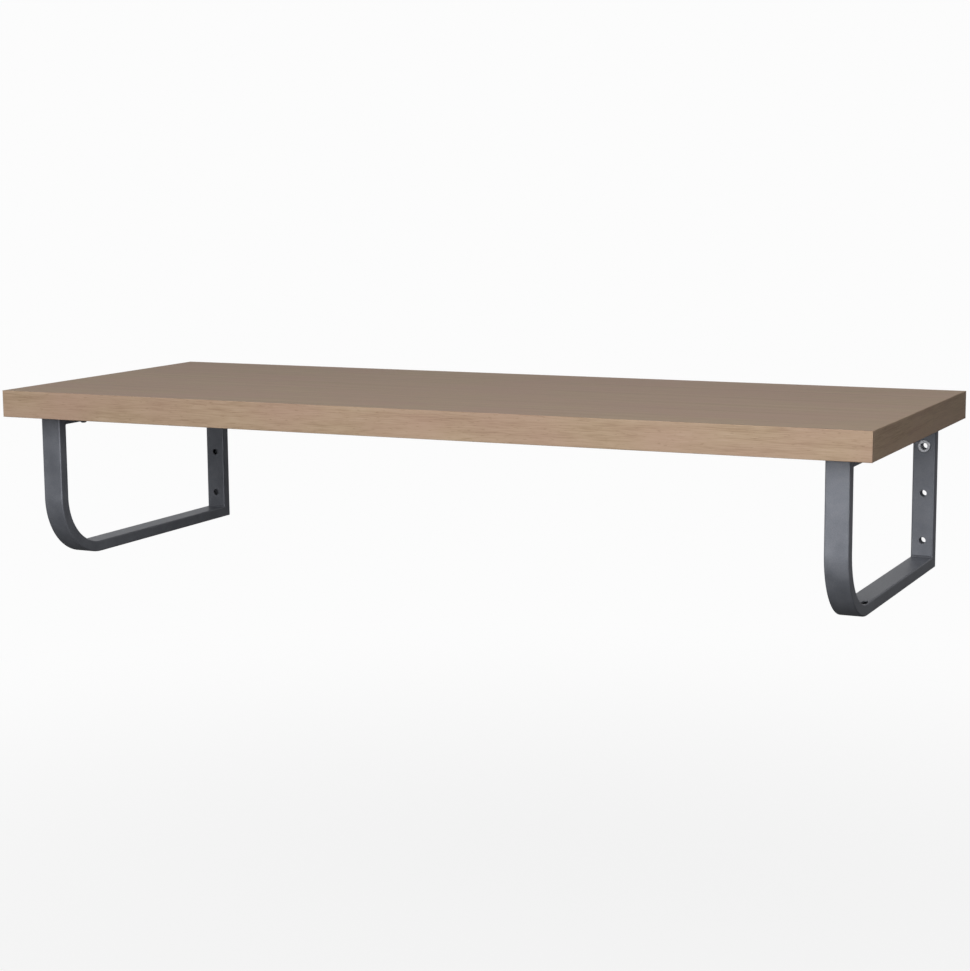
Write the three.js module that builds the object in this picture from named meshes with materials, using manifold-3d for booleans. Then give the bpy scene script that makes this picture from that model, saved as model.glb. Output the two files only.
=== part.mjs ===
// A wall shelf: a thick veneered board on two welded loop brackets of rectangular steel tube.
// Each bracket is a front leg that bends into a bottom rail, a flat bar that takes the wall
// screws, and a thinner tube under the board that takes the board screws.
//
// Millimetres. +X runs along the board, +Y into the wall, +Z up. The origin is the middle of
// the board's rear edge, on the wall plane.

import * as THREE from "three";
import { mergeVertices } from "three/addons/utils/BufferGeometryUtils.js";
import Module from "manifold-3d";

// ---- Board ----
const boardLength = 1200;
const boardDepth = 460;
const boardThickness = 36;
const veneerThickness = 0.8;
const edgeBandThickness = 2;

// ---- Brackets ----
const bracketHeight = 200; // underside of the board to the bottom of the rail
const bracketInset = 50; // end of the board to the middle of the bracket
const bracketSetback = 37; // front edge of the board to the front face of the leg
const tubeWidth = 30; // along the board
const tubeDepth = 15; // in the plane of the loop
const tubeWall = 1.5;
const tubeCornerRadius = 1.8;
const tubeBoreCornerRadius = 0.5;
const topTubeDepth = 13;
const bendOuterRadius = 87;
const weldLeg = 2.5;

// ---- Holes and fixings ----
const wallHoleDiameter = 9;
const wallHoleEndDistance = 37; // first and last hole to the ends of the wall tube
const bushWall = 1;
const bushFlangeWidth = 3; // how far the flange reaches beyond the sleeve
const bushFlangeThickness = 1.6;
const boardScrewInset = 75; // front and back of the bracket to the board screws
const boardScrewDiameter = 5;
const boardScrewGrip = 24; // how far a screw reaches into the board
const boardScrewPoint = 5;
const boardScrewHeadDiameter = 10;
const boardScrewHeadHeight = 4.8;
const boardScrewRecess = { length: 5.2, width: 1.1, depth: 2.4 };

// ---- Clearances and smoothness ----
const contactGap = 0.3; // between two pieces that touch
const bendSteps = 18;
const roundSegments = 32;
const cornerSegments = 3;
const cutMargin = 5; // how far a cutting tool runs past what it cuts

// ---- Levels and lines that follow from the sizes above ----
const boardUnderside = -boardThickness / 2;
const bracketTop = boardUnderside - contactGap;
const bracketBottom = bracketTop - bracketHeight;
const bracketFront = -boardDepth + bracketSetback;
const legBack = bracketFront + tubeDepth;
const wallTubeFront = -tubeDepth;
const railTop = bracketBottom + tubeDepth;
const topTubeBottom = bracketTop - topTubeDepth;
const bracketCentre = boardLength / 2 - bracketInset;

const bushOuterDiameter = wallHoleDiameter + 2 * bushWall;
const bushFlangeDiameter = bushOuterDiameter + 2 * bushFlangeWidth;

const wallHoleLevels = [
  bracketTop - wallHoleEndDistance,
  (bracketTop + bracketBottom) / 2,
  bracketBottom + wallHoleEndDistance,
];
const boardScrewLines = {
  front_screw: bracketFront + boardScrewInset,
  rear_screw: -boardScrewInset,
};

const materials = {
  veneer: () => new THREE.MeshStandardMaterial({ color: "#ad8f77", roughness: 0.55, metalness: 0 }),
  edgeBand: () => new THREE.MeshStandardMaterial({ color: "#b0917a", roughness: 0.5, metalness: 0 }),
  chipboard: () => new THREE.MeshStandardMaterial({ color: "#c2a57c", roughness: 0.9, metalness: 0 }),
  paint: () => new THREE.MeshStandardMaterial({ color: "#5d5f66", roughness: 0.35, metalness: 0.6 }),
  zinc: () => new THREE.MeshStandardMaterial({ color: "#c8cad0", roughness: 0.3, metalness: 0.9 }),
};

const wasm = await Module();
wasm.setup();

// ---- Cutting and joining ----

function toSolid(geometry) {
  const bare = geometry.clone();
  bare.deleteAttribute("normal");
  bare.deleteAttribute("uv");
  const merged = mergeVertices(bare, 1e-4);
  return new wasm.Manifold(
    new wasm.Mesh({
      numProp: 3,
      vertProperties: new Float32Array(merged.getAttribute("position").array),
      triVerts: new Uint32Array(merged.index.array),
    }),
  );
}

function toGeometry(solid) {
  const { vertProperties, triVerts } = solid.getMesh();
  const geometry = new THREE.BufferGeometry();
  geometry.setAttribute("position", new THREE.BufferAttribute(vertProperties, 3));
  geometry.setIndex(new THREE.BufferAttribute(triVerts, 1));
  const flat = geometry.toNonIndexed();
  flat.computeVertexNormals();
  return flat;
}

function cut(geometry, tools) {
  let solid = toSolid(geometry);
  for (const tool of tools) {
    solid = solid.subtract(toSolid(tool));
  }
  return toGeometry(solid);
}

// ---- Shapes ----

function tracedRectangle(path, sizeX, sizeY, radius) {
  const x = sizeX / 2 - radius;
  const y = sizeY / 2 - radius;
  const quarter = Math.PI / 2;
  path.absarc(x, y, radius, 0, quarter);
  path.absarc(-x, y, radius, quarter, 2 * quarter);
  path.absarc(-x, -y, radius, 2 * quarter, 3 * quarter);
  path.absarc(x, -y, radius, 3 * quarter, 4 * quarter);
  path.closePath();
  return path;
}

// The wall of a rectangular tube with rounded corners, seen end on.
function tubeSection(sizeX, sizeY) {
  const section = tracedRectangle(new THREE.Shape(), sizeX, sizeY, tubeCornerRadius);
  const bore = tracedRectangle(
    new THREE.Path(), sizeX - 2 * tubeWall, sizeY - 2 * tubeWall, tubeBoreCornerRadius,
  );
  section.holes.push(bore);
  return section;
}

// A straight extrusion that starts at z = 0 and rises by length.
function extrude(shape, length) {
  return new THREE.ExtrudeGeometry(shape, {
    depth: length, bevelEnabled: false, curveSegments: cornerSegments,
  });
}

function drill(diameter, length) {
  return new THREE.CylinderGeometry(diameter / 2, diameter / 2, length, roundSegments);
}

// The middle line of the bent tube, at x = 0: down the leg, round the bend, back along the rail.
// Its steps fall at the ends of the leg and the rail and evenly round the bend.
class BentLine extends THREE.Curve {
  constructor() {
    super();
    const radius = bendOuterRadius - tubeDepth / 2;
    const centreY = bracketFront + bendOuterRadius;
    const centreZ = bracketBottom + bendOuterRadius;
    this.stations = [{ y: bracketFront + tubeDepth / 2, z: bracketTop, angle: 0 }];
    for (let step = 0; step <= bendSteps; step += 1) {
      const angle = ((Math.PI / 2) * step) / bendSteps;
      this.stations.push({
        y: centreY - radius * Math.cos(angle),
        z: centreZ - radius * Math.sin(angle),
        angle,
      });
    }
    this.stations.push({ y: cutMargin, z: bracketBottom + tubeDepth / 2, angle: Math.PI / 2 });
  }

  get steps() {
    return this.stations.length - 1;
  }

  station(fraction) {
    return this.stations[Math.round(fraction * this.steps)];
  }

  getPointAt(fraction) {
    const { y, z } = this.station(fraction);
    return new THREE.Vector3(0, y, z);
  }

  getTangentAt(fraction) {
    const { angle } = this.station(fraction);
    return new THREE.Vector3(0, Math.sin(angle), -Math.cos(angle));
  }
}

// ---- Board ----

const bandRoom = edgeBandThickness + contactGap;
const panelLength = boardLength - 2 * bandRoom;
const panelDepth = boardDepth - 2 * bandRoom;
const coreThickness = boardThickness - 2 * (veneerThickness + contactGap);

function boardScrewHoles(diameter, fromZ, toZ) {
  const holes = [];
  for (const x of [-bracketCentre, bracketCentre]) {
    for (const y of Object.values(boardScrewLines)) {
      const hole = drill(diameter, toZ - fromZ);
      hole.rotateX(Math.PI / 2);
      hole.translate(x, y, (fromZ + toZ) / 2);
      holes.push(hole);
    }
  }
  return holes;
}

const screwHoleDiameter = boardScrewDiameter + 2 * contactGap;
const screwTipLevel = bracketTop + boardScrewGrip;

function boardCore() {
  const core = new THREE.BoxGeometry(panelLength, panelDepth, coreThickness);
  core.translate(0, -boardDepth / 2, 0);
  return cut(core, boardScrewHoles(
    screwHoleDiameter, boardUnderside - cutMargin, screwTipLevel + 2 * contactGap,
  ));
}

function veneerSheet(side) {
  const sheet = new THREE.BoxGeometry(panelLength, panelDepth, veneerThickness);
  sheet.translate(0, -boardDepth / 2, (side * (boardThickness - veneerThickness)) / 2);
  return sheet;
}

function bottomVeneer() {
  return cut(veneerSheet(-1), boardScrewHoles(
    screwHoleDiameter, boardUnderside - cutMargin, boardUnderside + cutMargin,
  ));
}

// The front and rear bands run the whole length, and the end bands fit between them.
function longBand(y) {
  const band = new THREE.BoxGeometry(boardLength, edgeBandThickness, boardThickness);
  band.translate(0, y, 0);
  return band;
}

function endBand(side) {
  const band = new THREE.BoxGeometry(edgeBandThickness, panelDepth, boardThickness);
  band.translate((side * (boardLength - edgeBandThickness)) / 2, -boardDepth / 2, 0);
  return band;
}

// ---- Bracket, built round x = 0 ----

// A half-space tool whose face lies on the 45 degree mitre through the lower rear corner.
// side +1 clears what is behind and above the mitre, and -1 what is in front and below it.
function mitreTool(side) {
  const size = 4 * (tubeDepth + cutMargin);
  const tool = new THREE.BoxGeometry(tubeWidth + 2 * cutMargin, size, size);
  tool.translate(0, side * (size / 2 - contactGap / 2), 0);
  tool.rotateX(Math.PI / 4);
  tool.translate(0, 0, bracketBottom);
  return tool;
}

function bentTube() {
  const line = new BentLine();
  const tube = new THREE.ExtrudeGeometry(tubeSection(tubeDepth, tubeWidth), {
    extrudePath: line, steps: line.steps, curveSegments: cornerSegments,
  });
  return cut(tube, [mitreTool(1)]);
}

function wallTube() {
  const tube = extrude(tubeSection(tubeWidth, tubeDepth), bracketHeight + cutMargin);
  tube.translate(0, -tubeDepth / 2, bracketBottom - cutMargin);
  const tools = [mitreTool(-1)];
  for (const level of wallHoleLevels) {
    const hole = drill(wallHoleDiameter, tubeDepth + 2 * cutMargin);
    hole.translate(0, -tubeDepth / 2, level);
    tools.push(hole);
  }
  // The front wall of the top hole is opened out for the bush.
  const bushHole = drill(bushOuterDiameter + 2 * contactGap, tubeWall + cutMargin);
  bushHole.translate(0, wallTubeFront + (tubeWall - cutMargin) / 2, wallHoleLevels[0]);
  tools.push(bushHole);
  return cut(tube, tools);
}

function topTube() {
  const start = legBack + contactGap;
  const end = wallTubeFront - contactGap;
  const tube = extrude(tubeSection(tubeWidth, topTubeDepth), end - start);
  tube.rotateX(-Math.PI / 2);
  tube.translate(0, start, bracketTop - topTubeDepth / 2);
  const tools = Object.values(boardScrewLines).map((y) => {
    const hole = drill(screwHoleDiameter, topTubeDepth + 2 * cutMargin);
    hole.rotateX(Math.PI / 2);
    hole.translate(0, y, bracketTop - topTubeDepth / 2);
    return hole;
  });
  return cut(tube, tools);
}

// A hollow-faced fillet in an inside corner at (y, z). The signs point into the open side.
function cornerWeld(y, z, signY, signZ) {
  const fillet = new THREE.Shape();
  fillet.moveTo(0, 0);
  fillet.lineTo(weldLeg, 0);
  fillet.quadraticCurveTo(weldLeg / 3, weldLeg / 3, 0, weldLeg);
  fillet.closePath();
  const length = tubeWidth - 2 * tubeCornerRadius;
  const weld = extrude(fillet, length);
  weld.translate(contactGap, contactGap, -length / 2);
  // The fillet's x turns to y, its y to z, and the extrusion to x.
  weld.applyMatrix4(new THREE.Matrix4().set(
    0, 0, signY * signZ, 0,
    signY, 0, 0, y,
    0, signZ, 0, z,
    0, 0, 0, 1,
  ));
  return weld;
}

function latheFromProfile(points) {
  const profile = points.map(([radius, height]) => new THREE.Vector2(radius, height));
  return new THREE.LatheGeometry(profile, roundSegments);
}

// A flanged steel bush in the top wall hole: its flange on the front face, its sleeve inside.
function wallBush() {
  const bore = wallHoleDiameter / 2;
  const sleeve = bushOuterDiameter / 2;
  const flange = bushFlangeDiameter / 2;
  const edge = bushFlangeThickness / 2;
  const seat = wallTubeFront - contactGap;
  const face = seat - bushFlangeThickness;
  const sleeveEnd = -tubeWall - contactGap;
  const bush = latheFromProfile([
    [bore, sleeveEnd],
    [bore, face + edge / 2],
    [bore + edge / 2, face],
    [flange - edge, face],
    [flange, face + edge],
    [flange, seat],
    [sleeve, seat],
    [sleeve, sleeveEnd],
    [bore, sleeveEnd],
  ]);
  bush.translate(0, 0, wallHoleLevels[0]);
  return bush;
}

// A pan-head screw that passes up through the top tube into the board.
function boardScrew(y) {
  const seat = topTubeBottom - contactGap;
  const shank = boardScrewDiameter / 2;
  const head = boardScrewHeadDiameter / 2;
  const low = seat - boardScrewHeadHeight;
  const screw = latheFromProfile([
    [0, low],
    [head * 0.55, low + boardScrewHeadHeight * 0.08],
    [head * 0.85, low + boardScrewHeadHeight * 0.3],
    [head, low + boardScrewHeadHeight * 0.7],
    [head, seat],
    [shank, seat],
    [shank, screwTipLevel - boardScrewPoint],
    [0, screwTipLevel],
  ]);
  // The lathe's axis is Y, so the profile's height turns to Z.
  screw.rotateX(Math.PI / 2);
  const { length, width, depth } = boardScrewRecess;
  const recess = [[length, width], [width, length]].map(([sizeX, sizeY]) => {
    const slot = new THREE.BoxGeometry(sizeX, sizeY, 2 * depth);
    slot.translate(0, 0, low);
    return slot;
  });
  const finished = cut(screw, recess);
  finished.translate(0, y, 0);
  return finished;
}

// ---- Assembly ----

const shelf = new THREE.Group();

function addPiece(parent, name, geometry, material) {
  const mesh = new THREE.Mesh(geometry, material);
  mesh.name = name;
  parent.add(mesh);
}

function addBoard() {
  const { chipboard, veneer, edgeBand } = materials;
  const bandLine = edgeBandThickness / 2;
  addPiece(shelf, "board_core", boardCore(), chipboard());
  addPiece(shelf, "board_top_veneer", veneerSheet(1), veneer());
  addPiece(shelf, "board_bottom_veneer", bottomVeneer(), veneer());
  addPiece(shelf, "board_front_edge_band", longBand(-boardDepth + bandLine), edgeBand());
  addPiece(shelf, "board_rear_edge_band", longBand(-bandLine), edgeBand());
  addPiece(shelf, "board_left_edge_band", endBand(-1), edgeBand());
  addPiece(shelf, "board_right_edge_band", endBand(1), edgeBand());
}

function addBracket(side, x) {
  const bracket = new THREE.Group();
  bracket.position.x = x;
  const { paint, zinc } = materials;
  addPiece(bracket, `${side}_bent_tube`, bentTube(), paint());
  addPiece(bracket, `${side}_wall_tube`, wallTube(), paint());
  addPiece(bracket, `${side}_top_tube`, topTube(), paint());
  addPiece(bracket, `${side}_front_top_weld`, cornerWeld(legBack, topTubeBottom, 1, -1), paint());
  addPiece(bracket, `${side}_rear_top_weld`, cornerWeld(wallTubeFront, topTubeBottom, -1, -1), paint());
  addPiece(bracket, `${side}_rear_bottom_weld`, cornerWeld(wallTubeFront, railTop, -1, 1), paint());
  addPiece(bracket, `${side}_wall_bush`, wallBush(), zinc());
  for (const [name, y] of Object.entries(boardScrewLines)) {
    addPiece(bracket, `${side}_${name}`, boardScrew(y), zinc());
  }
  shelf.add(bracket);
}

addBoard();
addBracket("left", -bracketCentre);
addBracket("right", bracketCentre);

export default shelf;
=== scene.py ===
"""A wall shelf: an oak-veneered board on two loop brackets of painted rectangular steel tube."""

import math

import bmesh
import bpy
from bpy.props import FloatProperty, FloatVectorProperty, PointerProperty
from mathutils import Matrix, Vector


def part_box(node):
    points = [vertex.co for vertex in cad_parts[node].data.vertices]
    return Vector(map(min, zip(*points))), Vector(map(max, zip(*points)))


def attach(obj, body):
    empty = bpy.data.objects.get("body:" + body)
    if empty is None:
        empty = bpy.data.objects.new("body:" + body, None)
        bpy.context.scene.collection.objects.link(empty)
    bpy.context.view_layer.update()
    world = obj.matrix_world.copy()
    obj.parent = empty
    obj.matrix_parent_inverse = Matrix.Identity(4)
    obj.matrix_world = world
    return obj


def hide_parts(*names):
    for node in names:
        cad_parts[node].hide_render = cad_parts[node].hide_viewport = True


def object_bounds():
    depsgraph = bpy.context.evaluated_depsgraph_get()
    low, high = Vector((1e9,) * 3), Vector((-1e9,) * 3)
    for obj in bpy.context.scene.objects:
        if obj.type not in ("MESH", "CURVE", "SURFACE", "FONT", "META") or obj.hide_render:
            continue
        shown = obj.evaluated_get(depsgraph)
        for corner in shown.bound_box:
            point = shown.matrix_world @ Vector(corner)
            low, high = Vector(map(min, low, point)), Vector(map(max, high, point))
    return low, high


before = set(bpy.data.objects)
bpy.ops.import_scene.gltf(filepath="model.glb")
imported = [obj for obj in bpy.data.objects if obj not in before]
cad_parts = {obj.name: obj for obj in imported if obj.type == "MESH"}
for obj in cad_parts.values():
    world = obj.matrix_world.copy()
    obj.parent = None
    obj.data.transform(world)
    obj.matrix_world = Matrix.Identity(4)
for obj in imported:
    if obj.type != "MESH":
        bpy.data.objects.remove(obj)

bl_info = {
    "name": "Wall shelf with brackets",
    "version": (1, 0, 0),
    "blender": (4, 5, 0),
    "location": "3D View > Sidebar > Wall shelf",
    "description": "Builds a veneered board, its steel tube brackets, its fixings and a studio",
    "category": "Add Mesh",
}

CAD_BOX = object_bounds()
MM = 0.001
SIDES = ("left", "right")
SCREWS = ("front", "rear")
SCREW_HOLE = 5.2 * MM
TUBE_CORNER_STEPS = 5
BEND_STEPS = 32
ROUND_STEPS = 64
LEVEL_TOLERANCE = 0.1 * MM
MERGE_DISTANCE = 0.002 * MM
LATHE_MERGE_DISTANCE = 0.001 * MM
RIM_ANGLE = math.radians(60)
SHARP_ANGLE = math.radians(40)

# How far the cutters for holes run past the sheet or tube that they cut.
SCREW_HOLE_OVERRUN = 1 * MM
WALL_HOLE_OVERRUN = 5 * MM
BUSH_HOLE_PLAY = 0.1 * MM  # added to the sleeve's diameter

FIBRE_LENGTH = 30 * MM
PORE_WIDTH = 1.0 * MM
PORE_LENGTH = 9 * MM
DRIFT_WIDTH = 60 * MM
DRIFT_LENGTH = 130 * MM
CHIP_SIZE = 3 * MM
FLAKE_SIZE = 0.35 * MM
PAINT_CLOUD_SIZE = 28 * MM
PEEL_SIZE = 1.1 * MM
ZINC_CLOUD_SIZE = 2.5 * MM

WELD_LEG = 2.0 * MM
WELD_BULGE = 0.10
WELD_RIPPLE_HEIGHT = 0.09
WELD_STEPS_PER_RIPPLE = 4
WELD_FACE_CUTS = 5

BUSH_LIP_RADIUS = 0.5 * MM
BUSH_THREAD_START = 0.3 * MM
BUSH_THREAD_STOP = 0.5 * MM

SCREW_CORE_RADIUS = 1.6 * MM
SCREW_SHANK_RADIUS = 2.45 * MM
SCREW_SHANK_END = 1 * MM  # below the board's underside
SCREW_THREAD_RUNOUT = 0.5 * MM
SCREW_POINT_LENGTH = 4 * MM
# The head's outline as shares of its radius and of its height.
SCREW_HEAD_OUTLINE = ((0.5, 0.05), (0.78, 0.22), (0.94, 0.48), (1.0, 0.8))
RECESS_WIDTH = 1.2 * MM
RECESS_HEIGHT = 3.4 * MM
RECESS_MIDDLE = 0.2 * MM  # above the lowest point of the head
RECESS_TAPER = 0.22  # half width of a slot at its inner end, where 0.5 is its outer end

FLOOR_RADIUS = 12
SENSOR_WIDTH = 36
# Name, width and height, power in watts, and place of each lamp.
SOFTBOXES = (
    ("front_softbox", (3.6, 2.6), 94, (0.8, -3.0, 1.15)),
    ("low_softbox", (1.6, 0.5), 1.7, (-0.2, -1.9, -0.67)),
    ("top_softbox", (2.2, 1.4), 1, (0.0, -0.4, 2.4)),
)
# Brightness of the room from straight down (0) over the horizon (0.5) to straight up (1).
ROOM_TONES = ((0.35, 0.045), (0.5, 0.34), (0.8, 0.25))


def srgb(hex_code):
    """The linear red, green and blue of an sRGB hex colour."""
    channels = [int(hex_code[i:i + 2], 16) / 255 for i in (1, 3, 5)]
    return tuple(c / 12.92 if c <= 0.04045 else ((c + 0.055) / 1.055) ** 2.4 for c in channels)


# ----- Settings -----

class BoardSettings(bpy.types.PropertyGroup):
    """Sizes and colours of the board's veneer and edge bands."""
    edge_radius: FloatProperty(
        name="Edge radius", description="Rounding of the board's outer edges",
        default=0.9 * MM, min=0.0, unit="LENGTH")
    seam: FloatProperty(
        name="Seam", description="Width of the glue line between veneer and edge band",
        default=0.08 * MM, min=0.0, unit="LENGTH")
    light: FloatVectorProperty(
        name="Light wood", description="Lightest tone of the grain",
        default=srgb("#cab39a"), min=0.0, max=1.0, size=3, subtype="COLOR")
    middle: FloatVectorProperty(
        name="Middle wood", description="Main tone of the grain",
        default=srgb("#b9a186"), min=0.0, max=1.0, size=3, subtype="COLOR")
    dark: FloatVectorProperty(
        name="Dark wood", description="Darkest tone of the grain",
        default=srgb("#8d7359"), min=0.0, max=1.0, size=3, subtype="COLOR")
    blush: FloatVectorProperty(
        name="Reddish drift", description="Tone that the wood drifts to in broad patches",
        default=srgb("#bb998a"), min=0.0, max=1.0, size=3, subtype="COLOR")
    figure_spacing: FloatProperty(
        name="Figure spacing", description="Distance between the broad growth bands",
        default=9 * MM, min=1 * MM, unit="LENGTH")
    sheet_figure_length: FloatProperty(
        name="Sheet figure length", description="Length of the growth bands on the board's faces",
        default=700 * MM, min=10 * MM, unit="LENGTH")
    band_figure_length: FloatProperty(
        name="Band figure length", description="Length of the growth bands on the board's edges",
        default=160 * MM, min=10 * MM, unit="LENGTH")
    fibre_spacing: FloatProperty(
        name="Fibre spacing", description="Distance between the fine fibre streaks",
        default=1.1 * MM, min=0.2 * MM, unit="LENGTH")


class BracketSettings(bpy.types.PropertyGroup):
    """Sizes and colours of the steel brackets."""
    tube_wall: FloatProperty(
        name="Tube wall", description="Thickness of the steel tube's wall",
        default=1.5 * MM, min=0.5 * MM, unit="LENGTH")
    corner_radius: FloatProperty(
        name="Corner radius", description="Outer corner radius of the tube",
        default=1.8 * MM, min=0.5 * MM, unit="LENGTH")
    bend_radius: FloatProperty(
        name="Bend radius", description="Outer radius of the front lower bend",
        default=87 * MM, min=20 * MM, unit="LENGTH")
    opening_angle: FloatProperty(
        name="Opening place", description="Angle from the end of the right bend to its opening",
        default=math.radians(2), subtype="ANGLE")
    opening_size: FloatVectorProperty(
        name="Opening size", description="Width and length of the opening in the right bend",
        default=(8.6 * MM, 32 * MM), size=2, unit="LENGTH")
    opening_inset: FloatProperty(
        name="Opening inset", description="Middle of the opening to the side of the tube",
        default=5.3 * MM, unit="LENGTH")
    hole_end: FloatProperty(
        name="Hole end distance", description="First and last wall hole to the ends of the wall tube",
        default=37 * MM, min=10 * MM, unit="LENGTH")
    hole_diameter: FloatProperty(
        name="Wall hole", description="Diameter of the holes for the wall screws",
        default=9 * MM, min=3 * MM, unit="LENGTH")
    rim_radius: FloatProperty(
        name="Rim rounding", description="Rounding that the paint gives hole rims and tube ends",
        default=0.25 * MM, min=0.0, unit="LENGTH")
    ripple: FloatProperty(
        name="Weld ripple", description="Distance between the ripples of a weld bead",
        default=1.6 * MM, min=0.5 * MM, unit="LENGTH")
    paint: FloatVectorProperty(
        name="Paint", description="Colour of the anthracite powder coat",
        default=srgb("#94979f"), min=0.0, max=1.0, size=3, subtype="COLOR")
    paint_shade: FloatVectorProperty(
        name="Paint shade", description="Darker tone between the paint's metal flakes",
        default=srgb("#777a82"), min=0.0, max=1.0, size=3, subtype="COLOR")


class FixingSettings(bpy.types.PropertyGroup):
    """Sizes and colours of the bushes and screws."""
    bush_wall: FloatProperty(
        name="Bush wall", description="Wall thickness of the bush's sleeve",
        default=1 * MM, min=0.3 * MM, unit="LENGTH")
    bush_pitch: FloatProperty(
        name="Bush pitch", description="Distance between the ridges of the bush's inner thread",
        default=1.5 * MM, min=0.5 * MM, unit="LENGTH")
    bush_thread: FloatProperty(
        name="Bush thread", description="Height of the ridges of the bush's inner thread",
        default=0.6 * MM, min=0.0, unit="LENGTH")
    thread_pitch: FloatProperty(
        name="Thread pitch", description="Distance between the ridges of the board screws",
        default=2.2 * MM, min=0.5 * MM, unit="LENGTH")
    thread_depth: FloatProperty(
        name="Thread depth", description="Height of the ridges of the board screws",
        default=0.6 * MM, min=0.1 * MM, unit="LENGTH")
    recess_span: FloatProperty(
        name="Recess span", description="Width of the cross recess in the screw head",
        default=5.2 * MM, min=1 * MM, unit="LENGTH")
    zinc: FloatVectorProperty(
        name="Zinc", description="Colour of the zinc plating",
        default=srgb("#d4d5d9"), min=0.0, max=1.0, size=3, subtype="COLOR")


class StageSettings(bpy.types.PropertyGroup):
    """Camera, floor and light."""
    aim: FloatVectorProperty(
        name="Aim", description="Point in the middle of the picture",
        default=(0.0126, -0.230, -0.1088), size=3, subtype="TRANSLATION", unit="LENGTH")
    azimuth: FloatProperty(
        name="Azimuth", description="Turn of the camera round the shelf from straight in front",
        default=math.radians(25.48), subtype="ANGLE")
    elevation: FloatProperty(
        name="Elevation", description="Height of the camera above the horizon",
        default=math.radians(8.54), subtype="ANGLE")
    roll: FloatProperty(
        name="Roll", description="Tilt of the camera about its own axis",
        default=math.radians(-0.44), subtype="ANGLE")
    distance: FloatProperty(
        name="Distance", description="Camera to the aim",
        default=2.818, min=0.1, unit="LENGTH")
    lens: FloatProperty(
        name="Focal length", description="Focal length on a 36 mm sensor, in millimetres",
        default=78.25, min=10.0)
    floor_drop: FloatProperty(
        name="Floor drop", description="Distance from the brackets down to the floor",
        default=0.75, min=0.0, unit="LENGTH")
    floor: FloatVectorProperty(
        name="Floor", description="Colour of the floor and the backdrop",
        default=srgb("#fcfcfc"), min=0.0, max=1.0, size=3, subtype="COLOR")


# ----- Mesh tools -----

def middle_of(node):
    """The middle of a CAD node's box."""
    low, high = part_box(node)
    return (low + high) / 2


def block(low, high):
    """A block between two corners."""
    bm = bmesh.new()
    bmesh.ops.create_cube(bm, size=1)
    bmesh.ops.scale(bm, vec=high - low, verts=bm.verts)
    bmesh.ops.translate(bm, vec=(low + high) / 2, verts=bm.verts)
    return bm


def turned_to(place, direction):
    """The matrix that turns Z to a direction and moves the origin to a place."""
    turn = Vector((0, 0, 1)).rotation_difference(Vector(direction)).to_matrix().to_4x4()
    return Matrix.Translation(place) @ turn


def rod(start, direction, diameter, length):
    """A cylinder from a point along a direction, for cutting holes."""
    bm = bmesh.new()
    bmesh.ops.create_cone(
        bm, cap_ends=True, segments=ROUND_STEPS, radius1=diameter / 2, radius2=diameter / 2,
        depth=length)
    bmesh.ops.translate(bm, vec=(0, 0, length / 2), verts=bm.verts)
    bmesh.ops.transform(bm, matrix=turned_to(start, direction), verts=bm.verts)
    return bm


def edges_at(bm, axis, level):
    """The edges that lie at one level of an axis."""
    return [
        edge for edge in bm.edges
        if all(abs(getattr(vert.co, axis) - level) < LEVEL_TOLERANCE for vert in edge.verts)]


def round_edges(bm, edges, radius, steps):
    """Rounds edges to a radius."""
    bmesh.ops.bevel(
        bm, geom=edges, offset=radius, offset_type="OFFSET", segments=steps, profile=0.5,
        affect="EDGES", clamp_overlap=True, material=-1)


def verts_of(geometry):
    """The vertices among an operator's results."""
    return [item for item in geometry if isinstance(item, bmesh.types.BMVert)]


def faces_of(geometry):
    """The faces among an operator's results."""
    return [item for item in geometry if isinstance(item, bmesh.types.BMFace)]


def tube_ring(bm, width, depth, radius, wall):
    """The end of a rectangular tube in the XY plane, as a ring of faces."""
    bmesh.ops.create_grid(bm, x_segments=1, y_segments=1, size=0.5)
    bmesh.ops.scale(bm, vec=(width, depth, 1), verts=bm.verts)
    bmesh.ops.bevel(
        bm, geom=bm.verts[:], offset=radius, offset_type="OFFSET", segments=TUBE_CORNER_STEPS,
        profile=0.5, affect="VERTICES", clamp_overlap=True, material=-1)
    middle = bm.faces[:]
    ring = bmesh.ops.inset_region(
        bm, faces=middle, thickness=wall, use_boundary=True, use_even_offset=True)["faces"]
    bmesh.ops.delete(bm, geom=middle, context="FACES_ONLY")
    return ring


def grow(bm, ring, offset, keep_start=False):
    """Extrudes faces along an offset and returns the faces at the far end.

    The starting faces stay only where they close the end of the piece.
    """
    made = bmesh.ops.extrude_face_region(bm, geom=ring)["geom"]
    bmesh.ops.translate(bm, vec=offset, verts=verts_of(made))
    if not keep_start:
        bmesh.ops.delete(bm, geom=[face for face in ring if face.is_valid], context="FACES")
    return faces_of(made)


def ring_verts(ring):
    """Every vertex of some faces, once."""
    return list({vert for face in ring for vert in face.verts})


def lathe(profile, centre, axis):
    """Spins a closed line of (radius, height) points about an axis through a centre.

    The profile is drawn with its heights along Z, then turned to the axis.
    """
    bm = bmesh.new()
    verts = [bm.verts.new((radius, 0, height)) for radius, height in profile]
    loop = zip(verts, verts[1:] + verts[:1]) if profile[0][0] > 0 else zip(verts, verts[1:])
    edges = [bm.edges.new(pair) for pair in loop]
    bmesh.ops.spin(
        bm, geom=verts + edges, cent=(0, 0, 0), axis=(0, 0, 1), angle=math.tau,
        steps=ROUND_STEPS, use_merge=True, use_duplicate=False)
    bmesh.ops.remove_doubles(bm, verts=bm.verts, dist=LATHE_MERGE_DISTANCE)
    bmesh.ops.recalc_face_normals(bm, faces=bm.faces)
    bmesh.ops.transform(bm, matrix=turned_to(centre, axis), verts=bm.verts)
    return bm


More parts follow.
